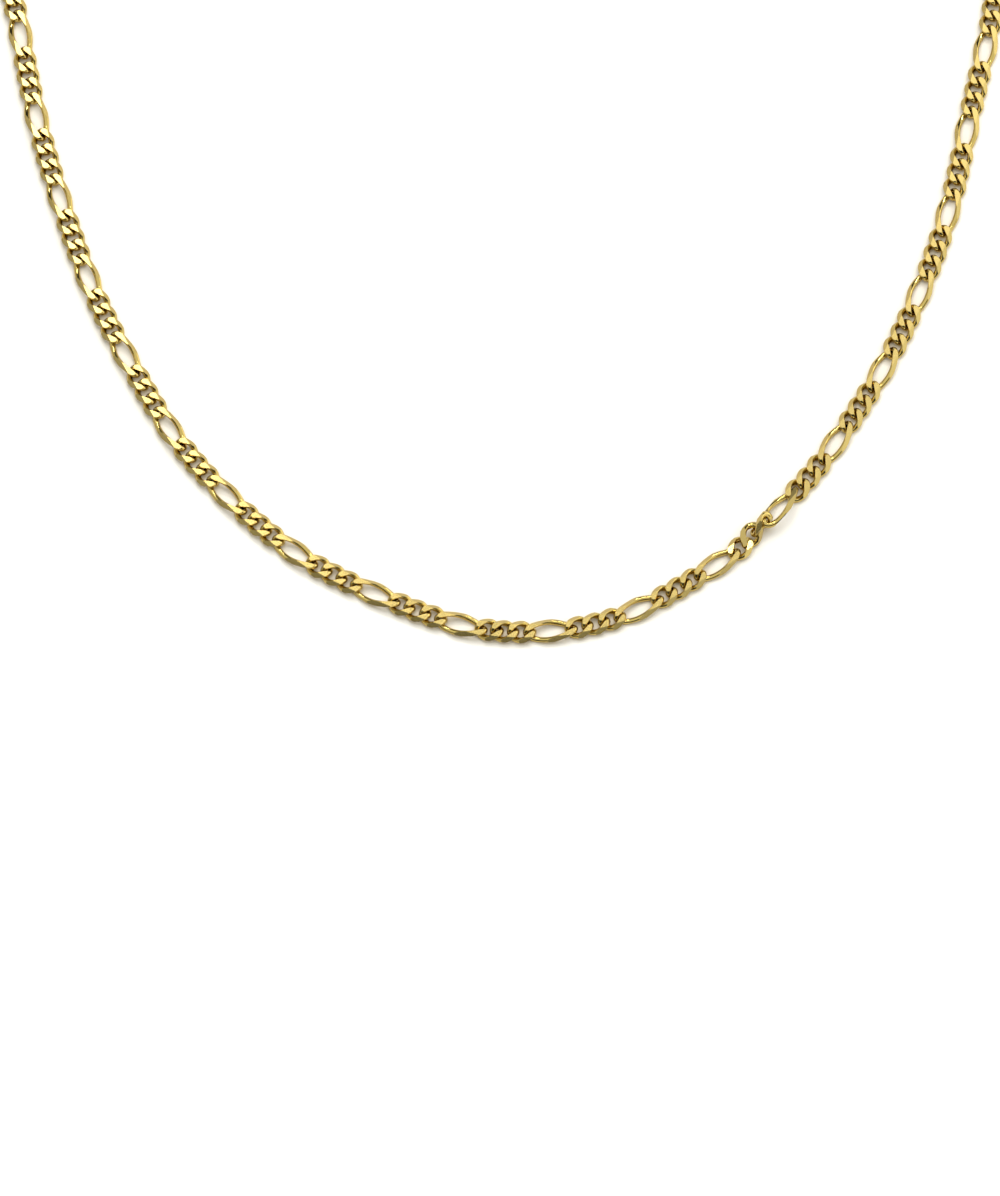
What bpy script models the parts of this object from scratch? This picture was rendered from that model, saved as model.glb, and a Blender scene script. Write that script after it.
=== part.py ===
"""A figaro neck chain, laid out as one closed loop on a flat surface.

Three short curb links follow each long one all the way round. A link is a round wire bent to an oval and
turned end to end, so that the chain lies flat, then cut flat above, below and along both shoulders.
The links of each half are fused where they bear on each other. The two halves hook together in front,
and a jump ring at each far end joins them to a plain clasp at the back.

Metres, +Z up. The origin lies on the surface, under the middle of the loop.
"""

from collections import namedtuple
from math import atan2, cos, hypot, pi, radians, sin, tan

import bmesh
import bpy
import numpy as np
from mathutils import Matrix, Vector

# The links of each kind: their outline and wire before they are cut, and how far across the chain the
# planes of their leaning shoulders reach
SHORT_LENGTH = 3.93e-3
SHORT_WIDTH = 3.14e-3
SHORT_WIRE = 0.83e-3
SHORT_SHOULDERS = 3.08e-3
LONG_LENGTH = 7.28e-3
LONG_WIDTH = 3.2e-3
LONG_WIRE = 0.79e-3
LONG_SHOULDERS = 3.16e-3

# What all links share. END_TURN is how far, in degrees, each end of a link is turned from lying flat,
# and CUT_THICKNESS the height between the upper and lower cut faces.
END_TURN = 45.0
CUT_THICKNESS = 1.24e-3
SHOULDER_ANGLE = 45.0

# The chain. PLAY is left between two short links, SEAT between a short one and a long one's tip.
NECKLACE_LENGTH = 0.457
SHORTS_IN_A_ROW = 3
PLAY = 0.03e-3
SEAT = 0.21e-3

# How finely the links and their wire are faceted
LINK_SIDES = 10
WIRE_SIDES = 5

# The fastening. RAMP is the stretch over which the chain climbs to the jump rings.
RING_WIRE = 0.7e-3
RING_WIDTH = 3.8e-3
EYE_WIDTH = 3.0e-3
CLASP_LENGTH = 11.0e-3
CLASP_WIDTH = 3.4e-3
CLASP_HEIGHT = 2.4e-3
CLASP_EDGE = 0.5e-3
RAMP = 22.0e-3

# Play between pieces that hook through each other and stay apart
CLEARANCE = 0.2e-3

# The way round, as chosen points of a smooth closed curve: from the clasp down the left side, along
# the front and back up the right side
ROUTE = (
    (0.0010, 0.1548), (-0.0314, 0.1472), (-0.0548, 0.1264), (-0.0662, 0.0973), (-0.0641, 0.0793),
    (-0.0584, 0.0557), (-0.0494, 0.0337), (-0.0361, 0.0144), (-0.0168, 0.0008), (0.0066, -0.0045),
    (0.0285, 0.0047), (0.0366, 0.0123), (0.0443, 0.0218), (0.0557, 0.0430), (0.0623, 0.0661),
    (0.0662, 0.0973), (0.0548, 0.1264), (0.0314, 0.1472),
)

# The kink, where the chain turns over. It starts at the long link after this share of them, and each
# row is one link: its roll about the way, its yaw and its tip in degrees, how far it lies to the left
# of the way, and the play added before the next link. The last two are shares of the short links'
# wire. Links look the same turned over.
KINK_SHARE = 0.555
KINK = (
    (0, 0, 0, 0.0, 0.01),
    (4, -2, 3, -0.06, 0.18),
    (26, 15, 8, 0.15, 0.36),
    (85, 3, 16, 0.13, 0.2),
    (152, 4, -6, -0.07, 0.31),
)

GOLD = (0.72, 0.53, 0.20, 1.0)
SHARP = radians(40)

Kind = namedtuple("Kind", "length width wire shoulders")
SHORT = Kind(SHORT_LENGTH, SHORT_WIDTH, SHORT_WIRE, SHORT_SHOULDERS)
LONG = Kind(LONG_LENGTH, LONG_WIDTH, LONG_WIRE, LONG_SHOULDERS)
Pose = namedtuple("Pose", "roll yaw tip aside play")
FLAT = Pose(0, 0, 0, 0, 0)


def half_length(kind):
    """From a link's middle to the middle of its wire at the end."""
    return (kind.length - kind.wire) / 2


def ring_radius(width):
    return (width - RING_WIRE) / 2


def eye_place():
    """From the clasp's middle to the centre of its eye, whose wire is sunk by half into the end face."""
    return CLASP_LENGTH / 2 + ring_radius(EYE_WIDTH)


def ring_place():
    """From the clasp's middle to the centre of the jump ring that hangs on its eye."""
    return eye_place() + ring_radius(EYE_WIDTH) + ring_radius(RING_WIDTH) - RING_WIRE - CLEARANCE


def first_link_place():
    """From the clasp's middle to the middle of the link that hangs on the jump ring."""
    wires = (SHORT.wire + RING_WIRE) / 2
    return ring_place() + ring_radius(RING_WIDTH) + half_length(SHORT) - wires - CLEARANCE


def ring_height():
    """How high the jump rings' centres are: the rings lean by END_TURN and stand on the surface."""
    return ring_radius(RING_WIDTH) / cos(pi / LINK_SIDES) * sin(radians(END_TURN)) + RING_WIRE / 2


def axis_height(kind, roll):
    """How high a link's middle is when its cut outline, rolled in degrees, rests on the surface."""
    across, upright = abs(sin(radians(roll))), abs(cos(radians(roll)))
    edge = CUT_THICKNESS / 2
    flat = kind.shoulders / 2 - edge * tan(radians(SHOULDER_ANGLE))
    on_flat = flat * across + edge * upright
    on_side = (kind.width - kind.wire) / 2 * across + kind.wire / 2
    return max(on_flat, on_side)


def smooth_step(x):
    x = min(max(x, 0.0), 1.0)
    return x * x * (3 - 2 * x)


def spacing(kind, following):
    """From one link's middle to the next one's in a straight stretch."""
    play = SEAT if LONG in (kind, following) else PLAY
    return half_length(kind) + half_length(following) - (kind.wire + following.wire) / 2 - play


def link_kinds():
    """Every link's kind from the clasp round to the clasp: short ones at both ends, and between
    them as many whole groups as bring the necklace nearest to its full length."""
    group = [SHORT] * SHORTS_IN_A_ROW + [LONG]
    pitch = sum(map(spacing, group, group[1:] + group[:1]))
    ends = 2 * first_link_place() + (SHORTS_IN_A_ROW - 1) * spacing(SHORT, SHORT)
    return group * round((NECKLACE_LENGTH - ends) / pitch) + [SHORT] * SHORTS_IN_A_ROW


def poses(kinds):
    """How every link lies on the way: flat but at the kink."""
    longs = [i for i, kind in enumerate(kinds) if kind == LONG]
    start = longs[round(KINK_SHARE * len(longs))]
    rows = [FLAT] * len(kinds)
    rows[start : start + len(KINK)] = [Pose(*row) for row in KINK]
    return rows


def link_rows():
    """One row for each link, of its kind, its pose, its distance along the way and how far the way
    has risen there, then the necklace's whole length."""
    kinds = link_kinds()
    rows, at = [], first_link_place()
    for i, (kind, pose) in enumerate(zip(kinds, poses(kinds))):
        rows.append([kind, pose, at])
        play = pose.play * SHORT.wire
        if i + 1 == len(kinds) // 2:
            play += CLEARANCE
        if i + 1 < len(kinds):
            at += spacing(kind, kinds[i + 1]) - play
    whole = at + first_link_place()
    for row in rows:
        from_ring = min(row[2], whole - row[2]) - ring_place()
        row.append((ring_height() - CUT_THICKNESS / 2) * (1 - smooth_step(from_ring / RAMP)))
    return rows, whole


class Way:
    """The way round, drawn at the size that gives it the necklace's length, measured from the clasp."""

    def __init__(self, collection, length):
        curve = bpy.data.curves.new("way", "CURVE")
        curve.resolution_u = 64
        spline = curve.splines.new("BEZIER")
        spline.use_cyclic_u = True
        spline.bezier_points.add(len(ROUTE) - 1)
        for point, (x, y) in zip(spline.bezier_points, ROUTE):
            point.co = (x, y, 0)
            point.handle_left_type = point.handle_right_type = "AUTO"
        guide = bpy.data.objects.new("way", curve)
        guide.hide_render = True
        guide.display_type = "WIRE"
        collection.objects.link(guide)
        bpy.context.view_layer.update()
        drawn = guide.evaluated_get(bpy.context.evaluated_depsgraph_get()).to_mesh()
        points = np.array([v.co for v in drawn.vertices])
        points = np.vstack([points, points[:1]])
        reach = np.concatenate([[0], np.cumsum(np.linalg.norm(np.diff(points, axis=0), axis=1))])
        guide.scale *= length / reach[-1]
        self.length = length
        self.points = points * length / reach[-1]
        self.reach = reach * length / reach[-1]

    def point(self, at):
        return [np.interp(at % self.length, self.reach, self.points[:, k]) for k in (0, 1)]

    def place(self, at, height, pose=FLAT, slope=0.0):
        """The frame of a piece at a distance along the way: X along it, climbing by slope, then posed."""
        behind, ahead = self.point(at - SHORT.wire), self.point(at + SHORT.wire)
        heading = atan2(ahead[1] - behind[1], ahead[0] - behind[0])
        spot = Matrix.Translation((*self.point(at), height)) @ Matrix.Rotation(heading, 4, "Z")
        spot = spot @ Matrix.Translation((0, pose.aside * SHORT.wire, 0))
        spot = spot @ Matrix.Rotation(radians(pose.yaw), 4, "Z")
        climb = Matrix.Rotation(-slope - radians(pose.tip), 4, "Y")
        return spot @ climb @ Matrix.Rotation(radians(pose.roll), 4, "X")


def shaved(point, shoulders):
    """A point of a link moved in to the cut faces if it stands outside them."""
    x, y, z = point
    lean = radians(SHOULDER_ANGLE)
    proud = abs(y) * cos(lean) + abs(z) * sin(lean) - shoulders / 2 * cos(lean)
    if proud > 0:
        y -= np.copysign(proud * cos(lean), y)
        z -= np.copysign(proud * sin(lean), z)
    edge = CUT_THICKNESS / 2
    return Vector((x, y, min(max(z, -edge), edge)))


def torus(width, wire):
    """A round ring of wire whose sides touch its true circle, with a side across both ends of X."""
    bpy.ops.mesh.primitive_torus_add(
        major_segments=LINK_SIDES,
        minor_segments=WIRE_SIDES,
        major_radius=(width - wire) / 2 / cos(pi / LINK_SIDES),
        minor_radius=wire / 2,
    )
    ring = bpy.context.object
    ring.data.transform(Matrix.Rotation(pi / LINK_SIDES, 4, "Z"))
    for owner in list(ring.users_collection):
        owner.objects.unlink(ring)
    return ring


def link_mesh(kind):
    """A link in its own frame: the ring drawn out to an oval, turned end to end about X and shaved."""
    ring = torus(kind.width, kind.wire)
    mesh = ring.data
    bpy.data.objects.remove(ring)
    a, b = half_length(kind), (kind.width - kind.wire) / 2
    step = 2 * pi / LINK_SIDES
    flats = cos(step / 2)

    def middle(t):
        u, v = a * cos(t) / flats, b * sin(t) / flats
        turn = -radians(END_TURN) * cos(t) / flats
        return Vector((u, v * cos(turn), v * sin(turn))), turn

    for vertex in mesh.vertices:
        x, y, side = vertex.co
        t, out = atan2(y, x), hypot(x, y) - b / flats
        centre, turn = middle(t)
        before = (centre - middle(t - step)[0]).normalized()
        after = (middle(t + step)[0] - centre).normalized()
        along = (before + after).normalized()
        outward = Vector((cos(t) / a, sin(t) / b * cos(turn), sin(t) / b * sin(turn)))
        outward = (outward - along * outward.dot(along)).normalized()
        corner = centre + outward * out / along.dot(before) + outward.cross(along) * side
        vertex.co = shaved(corner, kind.shoulders)
    return mesh


def nearest(faces, point):
    return min(faces, key=lambda face: (face.calc_center_median() - point).length)


def add_link(mesh, template, kind, place):
    """Adds a link, no lower than the surface, and returns its flats for the links before and after."""
    count = len(mesh.faces), len(mesh.verts)
    mesh.from_mesh(template)
    mesh.faces.ensure_lookup_table()
    mesh.verts.ensure_lookup_table()
    faces = mesh.faces[count[0] :]
    inside = half_length(kind) - kind.wire / 2
    flats = [nearest(faces, Vector((side * inside, 0, 0))) for side in (-1, 1)]
    corners = mesh.verts[count[1] :]
    bmesh.ops.transform(mesh, matrix=place, verts=corners)
    lowest = min(corner.co.z for corner in corners)
    bmesh.ops.translate(mesh, vec=(0, 0, max(-lowest, 0)), verts=corners)
    return flats


def fuse(mesh, flat, other):
    """Joins two links by a short neck where they bear on each other."""
    edges = list(flat.edges) + list(other.edges)
    bmesh.ops.delete(mesh, geom=[flat, other], context="FACES_ONLY")
    bmesh.ops.bridge_loops(mesh, edges=edges)


def gold(name):
    material = bpy.data.materials.new(name)
    material.use_nodes = True
    shader = material.node_tree.nodes["Principled BSDF"]
    shader.inputs["Base Color"].default_value = GOLD
    shader.inputs["Metallic"].default_value = 1.0
    shader.inputs["Roughness"].default_value = 0.25
    return material


def finish(piece, name, collection, place):
    piece.name = name
    piece.matrix_world = place
    piece.data.shade_smooth()
    piece.data.set_sharp_from_angle(angle=SHARP)
    piece.data.materials.append(gold(name + "_gold"))
    collection.objects.link(piece)
    return piece


def chain_half(collection, name, rows, way):
    """One half of the chain as a single body of fused links."""
    templates = {kind: link_mesh(kind) for kind in (SHORT, LONG)}
    mesh = bmesh.new()
    flats = []
    for i, (kind, pose, at, rise) in enumerate(rows):
        before, after = rows[max(i - 1, 0)], rows[min(i + 1, len(rows) - 1)]
        slope = (after[3] - before[3]) / (after[2] - before[2])
        place = way.place(at, axis_height(kind, pose.roll) + rise, pose, slope)
        flats += add_link(mesh, templates[kind], kind, place)
    for end, start in zip(flats[1::2], flats[2::2]):
        fuse(mesh, end, start)
    bmesh.ops.recalc_face_normals(mesh, faces=mesh.faces)
    data = bpy.data.meshes.new(name)
    mesh.to_mesh(data)
    mesh.free()
    for template in templates.values():
        bpy.data.meshes.remove(template)
    return finish(bpy.data.objects.new(name, data), name, collection, Matrix())


def jump_ring(collection, name, at, side, way):
    place = way.place(at, ring_height(), FLAT._replace(roll=side * END_TURN))
    return finish(torus(RING_WIDTH, RING_WIRE), name, collection, place)


def clasp(collection, guides, way):
    """A plain block with softened edges and a soldered eye at each end."""
    mesh = bmesh.new()
    size = Matrix.Diagonal((CLASP_LENGTH, CLASP_WIDTH, CLASP_HEIGHT, 1))
    bmesh.ops.create_cube(mesh, size=1, matrix=size)
    data = bpy.data.meshes.new("clasp")
    mesh.to_mesh(data)
    mesh.free()
    place = way.place(0, CLASP_HEIGHT / 2)
    piece = finish(bpy.data.objects.new("clasp", data), "clasp", collection, place)
    edges = piece.modifiers.new("edges", "BEVEL")
    edges.width = CLASP_EDGE
    edges.segments = 2
    for side, name in ((-1, "eye_right"), (1, "eye_left")):
        lean = Matrix.Rotation(radians(side * END_TURN), 4, "X")
        at = place @ Matrix.Translation((side * eye_place(), 0, 0)) @ lean
        eye = finish(torus(EYE_WIDTH, RING_WIRE), name, guides, at)
        eye.hide_render = True
        eye.display_type = "WIRE"
        join = piece.modifiers.new(name, "BOOLEAN")
        join.operation = "UNION"
        join.object = eye
    return piece


def centre(objects):
    """Moves everything so that the middle of its footprint is over the origin."""
    bpy.context.view_layer.update()
    points = np.array([o.matrix_world @ Vector(corner) for o in objects for corner in o.bound_box])
    middle = (points.max(axis=0) + points.min(axis=0)) / 2
    for o in objects:
        o.matrix_world = Matrix.Translation((-middle[0], -middle[1], 0)) @ o.matrix_world


def main():
    for old in list(bpy.data.objects):
        bpy.data.objects.remove(old, do_unlink=True)
    collection = bpy.data.collections.new("figaro_chain")
    guides = bpy.data.collections.new("guides")
    for made in (collection, guides):
        bpy.context.scene.collection.children.link(made)
    rows, whole = link_rows()
    way = Way(guides, whole)
    seam = len(rows) // 2
    chain_half(collection, "chain_left", rows[:seam], way)
    chain_half(collection, "chain_right", rows[seam:], way)
    jump_ring(collection, "jump_ring_left", ring_place(), -1, way)
    jump_ring(collection, "jump_ring_right", whole - ring_place(), 1, way)
    clasp(collection, guides, way)
    centre(list(collection.objects) + list(guides.objects))


main()
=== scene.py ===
"""A gold figaro neck chain lying on a plain pale floor.

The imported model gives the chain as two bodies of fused, faceted links. Here each link is a
round wire bent to the same twisted oval, standing in the same place, with its cut faces flat.
"""

from collections import namedtuple
from math import atan2, cos, pi, radians, sin, tan

import bmesh
import bpy
import numpy as np
from mathutils import Matrix, Vector

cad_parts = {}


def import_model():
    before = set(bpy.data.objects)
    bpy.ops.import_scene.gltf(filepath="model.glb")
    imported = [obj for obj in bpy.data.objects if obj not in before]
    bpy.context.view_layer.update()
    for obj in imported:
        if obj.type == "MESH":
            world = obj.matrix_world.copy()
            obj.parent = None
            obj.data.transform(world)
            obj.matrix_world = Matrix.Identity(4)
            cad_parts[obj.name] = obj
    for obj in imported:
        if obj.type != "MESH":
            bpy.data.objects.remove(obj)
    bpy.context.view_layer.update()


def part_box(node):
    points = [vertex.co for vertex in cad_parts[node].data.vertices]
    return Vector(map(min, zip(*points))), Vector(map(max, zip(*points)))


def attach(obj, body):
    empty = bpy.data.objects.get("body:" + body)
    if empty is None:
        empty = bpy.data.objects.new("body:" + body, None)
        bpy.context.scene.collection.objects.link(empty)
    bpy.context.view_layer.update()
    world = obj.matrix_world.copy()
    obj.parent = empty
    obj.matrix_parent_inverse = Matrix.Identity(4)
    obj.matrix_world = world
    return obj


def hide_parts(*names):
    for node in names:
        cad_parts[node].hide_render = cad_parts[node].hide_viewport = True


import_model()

# The chain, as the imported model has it
Kind = namedtuple("Kind", "length width wire shoulders")
SHORT = Kind(length=3.93e-3, width=3.14e-3, wire=0.83e-3, shoulders=3.08e-3)
LONG = Kind(length=7.28e-3, width=3.2e-3, wire=0.79e-3, shoulders=3.16e-3)
END_TURN = 45.0
CUT_THICKNESS = 1.24e-3
SHOULDER_ANGLE = 45.0
NECKLACE_LENGTH = 0.457
SHORTS_IN_A_ROW = 3
PLAY = 0.03e-3
SEAT = 0.21e-3
LINK_SIDES = 10
RING_WIRE = 0.7e-3
RING_WIDTH = 3.8e-3
EYE_WIDTH = 3.0e-3
CLASP_LENGTH = 11.0e-3
CLASP_WIDTH = 3.4e-3
CLASP_HEIGHT = 2.4e-3
CLASP_EDGE = 0.5e-3
RAMP = 22.0e-3
CLEARANCE = 0.2e-3
# The way round, as chosen points that are scaled to the necklace's length
ROUTE = (
    (0.0010, 0.1548), (-0.0314, 0.1472), (-0.0548, 0.1264), (-0.0662, 0.0973), (-0.0641, 0.0793),
    (-0.0584, 0.0557), (-0.0494, 0.0337), (-0.0361, 0.0144), (-0.0168, 0.0008), (0.0066, -0.0045),
    (0.0285, 0.0047), (0.0366, 0.0123), (0.0443, 0.0218), (0.0557, 0.0430), (0.0623, 0.0661),
    (0.0662, 0.0973), (0.0548, 0.1264), (0.0314, 0.1472),
)
# The kink: how far round it starts, and its links' poses. Turns are in degrees, and the shift
# aside and the extra play are shares of the wire.
KINK_SHARE = 0.555
Pose = namedtuple("Pose", "roll yaw tip aside play")
FLAT = Pose(0, 0, 0, 0, 0)
KINK = (
    (0, 0, 0, 0.0, 0.01),
    (4, -2, 3, -0.06, 0.18),
    (26, 15, 8, 0.15, 0.36),
    (85, 3, 16, 0.13, 0.2),
    (152, 4, -6, -0.07, 0.31),
)
# A link in its place: at is its distance along the way, and rise how far the way has risen there
Link = namedtuple("Link", "kind pose at rise")

# How finely the visible model is drawn: steps round a short link, a long link and their wire,
# round a ring and its wire, and over the clasp's rounded edges
SHORT_STEPS = 60
LONG_STEPS = 92
WIRE_STEPS = 22
RING_STEPS = 64
RING_WIRE_STEPS = 24
CLASP_EDGE_STEPS = 6
# Past this angle an edge of the clasp is sharp, and closer than this two points of a cut are one
CLASP_SHARP = 35.0
CUT_SNAP = 1e-8
# The most links in one piece
LINKS_A_PIECE = 37

# The gold: how close its patches of tone lie, and the range that patches times marks falls in
PATCHES = 420.0
PATCH_RANGE = (0.1, 0.45)

# The floor: its half width, how far it lies under the chain, its colour in the open, and a painted
# shade:
# a darker, warmer colour painted where the gold stands within a short reach over it, with that
# reach and the range of occlusion over which it fades in
FLOOR_REACH = 3.0
FLOOR_DROP = 2e-5
FLOOR_OPEN = (0.88, 0.835, 0.775, 1)
# Painted shadow: the darker, warmer floor colour painted close around and under the gold
FLOOR_PAINTED_SHADE = (0.80, 0.70, 0.54, 1)
PAINTED_SHADE_REACH = 2e-3
PAINTED_SHADE_RANGE = (0.25, 0.85)

# The sky: its light above, and low down at the left and at the right, the ranges of a direction's
# up and east in which one gives way to the other, and its tint
SKY_ABOVE = 1.2
SKY_LOW = (0.64, 1.53)
SKY_UP = (0.3, 0.8)
SKY_EAST = (-0.9, 0.9)
SKY_TINT = (1.0, 1.04, 1.02, 1)
# Two dark gaps in it: the ranges of up in which each sets in and ends, the range of north in which
# it sets in, and the share of light that is left there
Gap = namedtuple("Gap", "rise fall side light")
FRONT_GAP = Gap(rise=(0.2, 0.36), fall=(0.72, 0.88), side=(-0.25, -0.5), light=0.03)
BACK_GAP = Gap(rise=(0.25, 0.4), fall=(0.6, 0.72), side=(0.5, 0.7), light=0.04)

# The lamps. The left and the right one shine in the flat faces of the chain's two legs, the east
# one in its slopes, the spark in the kink's tilted links and the strip in the round of the wire.
Lamp = namedtuple("Lamp", "name place aim size watts")
LAMPS = (
    Lamp("left", (-0.12, 0.345, 0.8), (-0.06, 0, 0), (0.13, 0.25), 0.6),
    Lamp("right", (0.19, 0.37, 0.8), (0.06, 0, 0), (0.24, 0.26), 0.23),
    Lamp("east", (0.85, 0.36, 0.2), (0, 0, 0), (0.5, 0.36), 0.68),
    Lamp("spark", (0.04, 0.051, 0.8), (0, -0.07, 0), (0.055, 0.055), 0.22),
    Lamp("strip", (0.2, 0.6, 0.75), (0, 0, 0), (0.9, 0.05), 3.5),
)
# This one lights the floor, and the gold doesn't mirror it
FILL = Lamp("fill", (0.15, 0.4, 1.2), (0, 0, 0), (1.2, 1.2), 3.9)

# The camera. It aims at the origin of the route's points, at this height over the surface.
AIM_HEIGHT = 0.7e-3
CAMERA_DISTANCE = 1.2
CAMERA_ELEVATION = 71.38
CAMERA_LENS = 329.6
CAMERA_SENSOR = 36.0
CAMERA_CLIP = (0.05, 20)


def half_length(kind):
    return (kind.length - kind.wire) / 2


def ring_radius(width):
    return (width - RING_WIRE) / 2


def eye_place():
    return CLASP_LENGTH / 2 + ring_radius(EYE_WIDTH)


def ring_place():
    return eye_place() + ring_radius(EYE_WIDTH) + ring_radius(RING_WIDTH) - RING_WIRE - CLEARANCE


def first_link_place():
    wires = (SHORT.wire + RING_WIRE) / 2
    return ring_place() + ring_radius(RING_WIDTH) + half_length(SHORT) - wires - CLEARANCE


def ring_height():
    return ring_radius(RING_WIDTH) / cos(pi / LINK_SIDES) * sin(radians(END_TURN)) + RING_WIRE / 2


def axis_height(kind, roll):
    """How high the middle of a rolled link lies over the surface."""
    across, upright = abs(sin(radians(roll))), abs(cos(radians(roll)))
    edge = CUT_THICKNESS / 2
    flat = kind.shoulders / 2 - edge * tan(radians(SHOULDER_ANGLE))
    on_flat = flat * across + edge * upright
    on_side = (kind.width - kind.wire) / 2 * across + kind.wire / 2
    return max(on_flat, on_side)


def smooth_step(x):
    x = min(max(x, 0.0), 1.0)
    return x * x * (3 - 2 * x)


def spacing(kind, following):
    """From the middle of one link to the middle of the next."""
    play = SEAT if LONG in (kind, following) else PLAY
    return half_length(kind) + half_length(following) - (kind.wire + following.wire) / 2 - play


def link_kinds():
    """Short and long links in turn, as many as the necklace's length takes."""
    group = [SHORT] * SHORTS_IN_A_ROW + [LONG]
    pitch = sum(map(spacing, group, group[1:] + group[:1]))
    ends = 2 * first_link_place() + (SHORTS_IN_A_ROW - 1) * spacing(SHORT, SHORT)
    return group * round((NECKLACE_LENGTH - ends) / pitch) + [SHORT] * SHORTS_IN_A_ROW


def poses(kinds):
    """How each link lies: flat, but for those of the kink."""
    longs = [i for i, kind in enumerate(kinds) if kind == LONG]
    start = longs[round(KINK_SHARE * len(longs))]
    rows = [FLAT] * len(kinds)
    rows[start : start + len(KINK)] = [Pose(*row) for row in KINK]
    return rows


def chain():
    """The links in turn, and the necklace's whole length."""
    kinds = link_kinds()
    turns = poses(kinds)
    stops = [first_link_place()]
    for i in range(len(kinds) - 1):
        play = turns[i].play * SHORT.wire
        if i + 1 == len(kinds) // 2:
            play += CLEARANCE
        step = spacing(kinds[i], kinds[i + 1]) - play
        stops.append(stops[-1] + step)
    whole = stops[-1] + first_link_place()
    links = []
    for kind, pose, at in zip(kinds, turns, stops):
        from_ring = min(at, whole - at) - ring_place()
        rise = (ring_height() - CUT_THICKNESS / 2) * (1 - smooth_step(from_ring / RAMP))
        links.append(Link(kind, pose, at, rise))
    return links, whole


class Way:
    """The way round, measured from the clasp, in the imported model's frame."""

    def __init__(self, length):
        curve = bpy.data.curves.new("way", "CURVE")
        curve.resolution_u = 64
        spline = curve.splines.new("BEZIER")
        spline.use_cyclic_u = True
        spline.bezier_points.add(len(ROUTE) - 1)
        for point, (x, y) in zip(spline.bezier_points, ROUTE):
            point.co = (x, y, 0)
            point.handle_left_type = point.handle_right_type = "AUTO"
        guide = bpy.data.objects.new("way", curve)
        bpy.context.scene.collection.objects.link(guide)
        bpy.context.view_layer.update()
        drawn = guide.evaluated_get(bpy.context.evaluated_depsgraph_get()).to_mesh()
        points = np.array([v.co for v in drawn.vertices])
        bpy.data.objects.remove(guide)
        points = np.vstack([points, points[:1]])
        reach = np.concatenate([[0], np.cumsum(np.linalg.norm(np.diff(points, axis=0), axis=1))])
        self.length = length
        self.points = points * length / reach[-1]
        self.reach = reach * length / reach[-1]
        low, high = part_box("jump_ring_left")
        self.shift = (Vector(low) + Vector(high)) / 2 - Vector((*self.point(ring_place()), 0))
        self.shift.z = 0
        self.points = self.points + np.array(self.shift)

    def point(self, at):
        return [np.interp(at % self.length, self.reach, self.points[:, k]) for k in (0, 1)]

    def place(self, at, height, pose=FLAT, slope=0.0):
        """Where a piece stands at a distance along the way, with its x axis along the way."""
        behind, ahead = self.point(at - SHORT.wire), self.point(at + SHORT.wire)
        heading = atan2(ahead[1] - behind[1], ahead[0] - behind[0])
        spot = Matrix.Translation((*self.point(at), height)) @ Matrix.Rotation(heading, 4, "Z")
        spot = spot @ Matrix.Translation((0, pose.aside * SHORT.wire, 0))
        spot = spot @ Matrix.Rotation(radians(pose.yaw), 4, "Z")
        climb = Matrix.Rotation(-slope - radians(pose.tip), 4, "Y")
        return spot @ climb @ Matrix.Rotation(radians(pose.roll), 4, "X")


def tube(name, middle, outward_of, wire, steps, around):
    """A closed tube of wire along middle(t). Its grain keeps each point's place in the wire's own
    section and along it."""
    t = np.arange(steps) * 2 * pi / steps
    centre = middle(t)
    nudge = 1e-4
    along = middle(t + nudge) - middle(t - nudge)
    along /= np.linalg.norm(along, axis=1)[:, None]
    outward = outward_of(t)
    outward -= along * (outward * along).sum(axis=1)[:, None]
    outward /= np.linalg.norm(outward, axis=1)[:, None]
    side = np.cross(outward, along)
    angle = np.arange(around) * 2 * pi / around
    section = np.stack([np.cos(angle), np.sin(angle)], axis=1) * wire / 2
    points = centre[:, None] + outward[:, None] * section[None, :, :1]
    points = points + side[:, None] * section[None, :, 1:]
    reach = np.linalg.norm(np.diff(np.vstack([centre, centre[:1]]), axis=0), axis=1).cumsum()
    grain = np.empty((steps, around, 3))
    grain[:, :, :2] = section[None]
    grain[:, :, 2] = reach[:, None]
    faces = []
    for i in range(steps):
        j = (i + 1) % steps
        for k in range(around):
            m = (k + 1) % around
            faces.append((i * around + k, i * around + m, j * around + m, j * around + k))
    mesh = bpy.data.meshes.new(name)
    mesh.from_pydata(points.reshape(-1, 3).tolist(), [], faces)
    mesh.attributes.new("grain", "FLOAT_VECTOR", "POINT").data.foreach_set("vector", grain.ravel())
    return mesh


def oval(name, kind, steps):
    """A whole link before it is cut: the wire bent to an oval and turned end to end."""
    a, b = half_length(kind), (kind.width - kind.wire) / 2

    def middle(t):
        turn = -radians(END_TURN) * np.cos(t)
        across = b * np.sin(t)
        return np.stack([a * np.cos(t), across * np.cos(turn), across * np.sin(turn)], axis=1)

    def outward(t):
        turn = -radians(END_TURN) * np.cos(t)
        across = np.sin(t) / b
        return np.stack([np.cos(t) / a, across * np.cos(turn), across * np.sin(turn)], axis=1)

    return tube(name, middle, outward, kind.wire, steps, WIRE_STEPS)


def cut_planes(kind):
    """A point and the outward normal of each face that a link is cut to."""
    lean = radians(SHOULDER_ANGLE)
    for up in (-1, 1):
        for side in (-1, 1):
            yield (0, side * kind.shoulders / 2, 0), (0, side * cos(lean), up * sin(lean))
        yield (0, 0, up * CUT_THICKNESS / 2), (0, 0, up)


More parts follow.
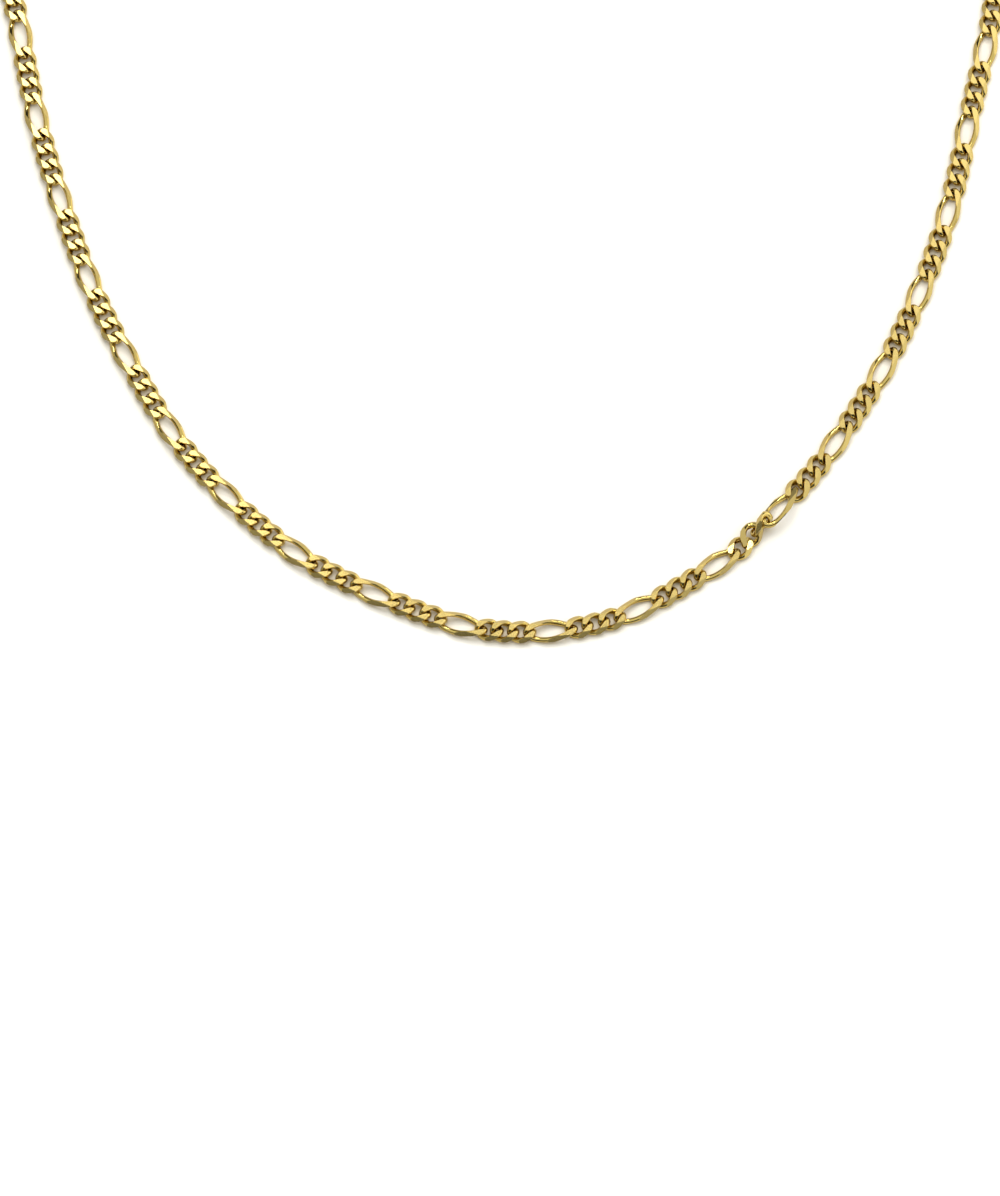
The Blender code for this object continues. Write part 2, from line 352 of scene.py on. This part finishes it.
def link(name, kind, steps):
    """A link with its cut faces, which take the second material."""
    mesh = oval(name, kind, steps)
    bm = bmesh.new()
    bm.from_mesh(mesh)
    for face in bm.faces:
        face.smooth = True
    for point, normal in cut_planes(kind):
        everything = bm.verts[:] + bm.edges[:] + bm.faces[:]
        bmesh.ops.bisect_plane(
            bm, geom=everything, dist=CUT_SNAP, plane_co=point, plane_no=normal, clear_outer=True
        )
        rim = [edge for edge in bm.edges if edge.is_boundary]
        for face in bmesh.ops.holes_fill(bm, edges=rim, sides=0)["faces"]:
            face.material_index = 1
            face.smooth = False
    bmesh.ops.recalc_face_normals(bm, faces=bm.faces)
    place = bm.verts.layers.float_vector.new("link_place")
    for vert in bm.verts:
        vert[place] = vert.co
    for edge in bm.edges:
        edge.smooth = len({face.material_index for face in edge.link_faces}) == 1
        if all(face.material_index == 1 for face in edge.link_faces):
            edge.smooth = False
    bm.to_mesh(mesh)
    bm.free()
    return mesh


def ring(name, width):
    """A round ring of the jump rings' wire."""
    radius = ring_radius(width)

    def middle(t):
        return np.stack([radius * np.cos(t), radius * np.sin(t), 0 * t], axis=1)

    mesh = tube(name, middle, middle, RING_WIRE, RING_STEPS, RING_WIRE_STEPS)
    mesh.shade_smooth()
    return mesh


def node(tree, kind, **sockets):
    """A new node. Its settings and its inputs are given by name, and an input takes a value or the
    output that feeds it."""
    made = tree.nodes.new(kind)
    for key, value in sockets.items():
        if hasattr(made, key):
            setattr(made, key, value)
        elif isinstance(value, bpy.types.NodeSocket):
            tree.links.new(value, made.inputs[key.replace("_", " ")])
        else:
            made.inputs[key.replace("_", " ")].default_value = value
    return made


def remap(tree, value, low, high, at_low, at_high, shape="SMOOTHSTEP"):
    """The value taken from the range low to high to the range at_low to at_high."""
    made = node(
        tree,
        "ShaderNodeMapRange",
        interpolation_type=shape,
        Value=value,
        From_Min=low,
        From_Max=high,
        To_Min=at_low,
        To_Max=at_high,
    )
    return made.outputs["Result"]


def times(tree, a, b):
    made = node(tree, "ShaderNodeMath", operation="MULTIPLY")
    tree.links.new(a, made.inputs[0])
    tree.links.new(b, made.inputs[1])
    return made.outputs[0]


def noise(tree, where, scale, detail, rough):
    made = node(
        tree, "ShaderNodeTexNoise", Scale=scale, Detail=detail, Roughness=rough, Vector=where
    )
    return made.outputs["Fac"]


def gold(name, colour, deep, rough, spread, lines, depth, use):
    """Yellow gold. colour and deep are its two tones, rough and spread its roughness and how much
    that varies. lines stretches the fine drawn or cut marks, which follow the attribute that use
    names, and depth is how deep they are."""
    material = bpy.data.materials.new(name)
    material.use_nodes = True
    tree = material.node_tree
    shader = tree.nodes["Principled BSDF"]
    shader.inputs["Metallic"].default_value = 1.0
    shader.inputs["IOR"].default_value = 1.45

    marks = node(tree, "ShaderNodeAttribute", attribute_name=use)
    stretch = node(tree, "ShaderNodeVectorMath", operation="MULTIPLY")
    stretch.inputs[1].default_value = lines
    tree.links.new(marks.outputs["Vector"], stretch.inputs[0])
    fine = noise(tree, stretch.outputs["Vector"], scale=1.0, detail=3.0, rough=0.6)
    where = node(tree, "ShaderNodeTexCoord")
    wide = noise(tree, where.outputs["Object"], scale=PATCHES, detail=2.0, rough=0.5)

    tone = node(tree, "ShaderNodeMix", data_type="RGBA", A=(*colour, 1), B=(*deep, 1), Factor=wide)
    tree.links.new(tone.outputs["Result"], shader.inputs["Base Color"])

    both = times(tree, wide, fine)
    vary = remap(tree, both, *PATCH_RANGE, rough - spread, rough + spread, "LINEAR")
    tree.links.new(vary, shader.inputs["Roughness"])

    bump = node(tree, "ShaderNodeBump", Strength=1.0, Distance=depth, Height=fine)
    tree.links.new(bump.outputs["Normal"], shader.inputs["Normal"])
    return material


POLISHED = gold(
    "gold_polished",
    colour=(0.53, 0.39, 0.122),
    deep=(0.48, 0.346, 0.104),
    rough=0.055,
    spread=0.025,
    lines=(14e3, 14e3, 300),
    depth=0.7e-6,
    use="grain",
)
CUT = gold(
    "gold_cut",
    colour=(0.51, 0.376, 0.129),
    deep=(0.46, 0.338, 0.117),
    rough=0.18,
    spread=0.06,
    lines=(1500, 16e3, 16e3),
    depth=2.5e-6,
    use="link_place",
)


def add(name, data, place=None):
    """A new object in the scene."""
    made = bpy.data.objects.new(name, data)
    if place is not None:
        made.matrix_world = place
    bpy.context.scene.collection.objects.link(made)
    return made


def join(name, parts):
    """The parts as one piece, with its mesh in the scene's own frame."""
    if len(parts) > 1:
        with bpy.context.temp_override(active_object=parts[0], selected_editable_objects=parts):
            bpy.ops.object.join()
    parts[0].name = name
    parts[0].data.name = name
    parts[0].data.transform(parts[0].matrix_world)
    parts[0].matrix_world = Matrix()
    return parts[0]


def dress(piece, slot, *nodes):
    """The piece rides on the root and hides the nodes that it stands for. slot is not used."""
    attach(piece, "root")
    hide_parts(*nodes)


links, whole = chain()
way = Way(whole)

templates = {
    SHORT: link("short_link", SHORT, SHORT_STEPS),
    LONG: link("long_link", LONG, LONG_STEPS),
}
template_points = {}
for kind, template in templates.items():
    template.materials.append(POLISHED)
    template.materials.append(CUT)
    points = np.empty(len(template.vertices) * 3)
    template.vertices.foreach_get("co", points)
    template_points[kind] = points.reshape(-1, 3)


def link_place(i):
    """Where a link lies, lifted until it stands no lower than the surface."""
    this = links[i]
    before, after = links[max(i - 1, 0)], links[min(i + 1, len(links) - 1)]
    slope = (after.rise - before.rise) / (after.at - before.at)
    height = axis_height(this.kind, this.pose.roll) + this.rise
    place = way.place(this.at, height, this.pose, slope)
    upward = np.array(place)[2, :3]
    lowest = (template_points[this.kind] @ upward).min() + place.translation.z
    return Matrix.Translation((0, 0, max(-lowest, 0))) @ place


seam = len(links) // 2
for half, first, last in (("left", 0, seam), ("right", seam, len(links))):
    for number, start in enumerate(range(first, last, LINKS_A_PIECE)):
        ids = range(start, min(start + LINKS_A_PIECE, last))
        parts = [add("link", templates[links[i].kind].copy(), link_place(i)) for i in ids]
        piece = join(f"links_{half}_{number + 1}", parts)
        dress(piece, f"chain_{half}_gold", f"chain_{half}")

for half, at, side in (("left", ring_place(), -1), ("right", whole - ring_place(), 1)):
    mesh = ring(f"ring_{half}", RING_WIDTH)
    mesh.materials.append(POLISHED)
    place = way.place(at, ring_height(), FLAT._replace(roll=side * END_TURN))
    piece = join(f"ring_{half}", [add(f"ring_{half}", mesh, place)])
    dress(piece, f"jump_ring_{half}_gold", f"jump_ring_{half}")


def clasp():
    """The clasp's block with rounded edges, and a round eye at each end."""
    place = way.place(0, CLASP_HEIGHT / 2)
    bm = bmesh.new()
    block = Matrix.Diagonal((CLASP_LENGTH, CLASP_WIDTH, CLASP_HEIGHT, 1))
    bmesh.ops.create_cube(bm, size=1, matrix=block)
    bmesh.ops.bevel(
        bm,
        geom=bm.edges[:],
        offset=CLASP_EDGE,
        segments=CLASP_EDGE_STEPS,
        profile=0.5,
        affect="EDGES",
    )
    for face in bm.faces:
        face.smooth = True
    mesh = bpy.data.meshes.new("clasp_block")
    bm.to_mesh(mesh)
    bm.free()
    mesh.set_sharp_from_angle(angle=radians(CLASP_SHARP))
    grain = np.empty(len(mesh.vertices) * 3)
    mesh.vertices.foreach_get("co", grain)
    for name in ("grain", "link_place"):
        mesh.attributes.new(name, "FLOAT_VECTOR", "POINT").data.foreach_set("vector", grain)
    mesh.materials.append(CUT)
    parts = [add("clasp_block", mesh, place)]
    for side in (-1, 1):
        eye = ring("eye", EYE_WIDTH)
        eye.materials.append(POLISHED)
        there = place @ Matrix.Translation((side * eye_place(), 0, 0))
        parts.append(add("eye", eye, there @ Matrix.Rotation(radians(side * END_TURN), 4, "X")))
    return join("clasp_block", parts)


dress(clasp(), "clasp_gold", "clasp")
for template in templates.values():
    bpy.data.meshes.remove(template)


def floor():
    """A plain pale floor, with a painted shadow: darker and warmer where the gold stands close
    over it.
    """
    mesh = bpy.data.meshes.new("floor")
    around = ((-1, -1), (1, -1), (1, 1), (-1, 1))
    corners = [(x * FLOOR_REACH, y * FLOOR_REACH, 0) for x, y in around]
    mesh.from_pydata(corners, [], [(0, 1, 2, 3)])
    made = add("floor", mesh)
    made.location.z = -FLOOR_DROP
    material = bpy.data.materials.new("floor")
    material.use_nodes = True
    tree = material.node_tree
    shader = tree.nodes["Principled BSDF"]
    # Painted shade: occlusion by the gold mixes the darker, warmer painted-shadow colour into the
    # floor
    open_sky = node(tree, "ShaderNodeAmbientOcclusion", Distance=PAINTED_SHADE_REACH, samples=6)
    share = remap(tree, open_sky.outputs["AO"], *PAINTED_SHADE_RANGE, 0, 1)
    tone = node(tree, "ShaderNodeMix", data_type="RGBA", A=FLOOR_PAINTED_SHADE, B=FLOOR_OPEN, Factor=share)
    tree.links.new(tone.outputs["Result"], shader.inputs["Base Color"])
    shader.inputs["Roughness"].default_value = 0.6
    shader.inputs["Specular IOR Level"].default_value = 0.2
    mesh.materials.append(material)


floor()


def world():
    """A pale studio, bright above and to the right, with a dark gap in front of the table and one
    behind it."""
    made = bpy.data.worlds.new("studio")
    bpy.context.scene.world = made
    made.use_nodes = True
    tree = made.node_tree
    where = node(tree, "ShaderNodeTexCoord")
    parts = node(tree, "ShaderNodeSeparateXYZ", Vector=where.outputs["Generated"])
    east, north, up = parts.outputs

    low = remap(tree, east, *SKY_EAST, *SKY_LOW)
    raised = remap(tree, up, *SKY_UP, 0, 1)
    sky = node(tree, "ShaderNodeMix", data_type="FLOAT", Factor=raised, A=low, B=SKY_ABOVE)
    light = sky.outputs["Result"]
    for gap in (FRONT_GAP, BACK_GAP):
        high = times(tree, remap(tree, up, *gap.rise, 0, 1), remap(tree, up, *gap.fall, 1, 0))
        inside = times(tree, high, remap(tree, north, *gap.side, 0, 1))
        light = times(tree, light, remap(tree, inside, 0, 1, 1, gap.light))

    tint = node(tree, "ShaderNodeMix", data_type="RGBA", blend_type="MULTIPLY", Factor=1.0)
    tint.inputs["B"].default_value = SKY_TINT
    tree.links.new(light, tint.inputs["A"])
    tree.links.new(tint.outputs["Result"], tree.nodes["Background"].inputs["Color"])


world()


def shine(lamp):
    """A lamp's flat rectangle of light."""
    data = bpy.data.lights.new(lamp.name, "AREA")
    data.shape = "RECTANGLE"
    data.size, data.size_y = lamp.size
    data.energy = lamp.watts
    made = add(lamp.name, data)
    made.location = lamp.place
    toward = Vector(lamp.aim) - Vector(lamp.place)
    made.rotation_euler = toward.to_track_quat("-Z", "Y").to_euler()
    return made


for lamp in LAMPS:
    shine(lamp)
shine(FILL).visible_glossy = False


def camera():
    data = bpy.data.cameras.new("camera")
    data.lens = CAMERA_LENS
    data.sensor_width = CAMERA_SENSOR
    data.sensor_fit = "HORIZONTAL"
    data.clip_start, data.clip_end = CAMERA_CLIP
    made = add("camera", data)
    up = radians(CAMERA_ELEVATION)
    aim = Vector((way.shift.x, way.shift.y, AIM_HEIGHT))
    made.location = aim + CAMERA_DISTANCE * Vector((0, -cos(up), sin(up)))
    made.rotation_euler = (pi / 2 - up, 0, 0)
    bpy.context.scene.camera = made


camera()
bpy.context.scene.view_settings.view_transform = "Standard"
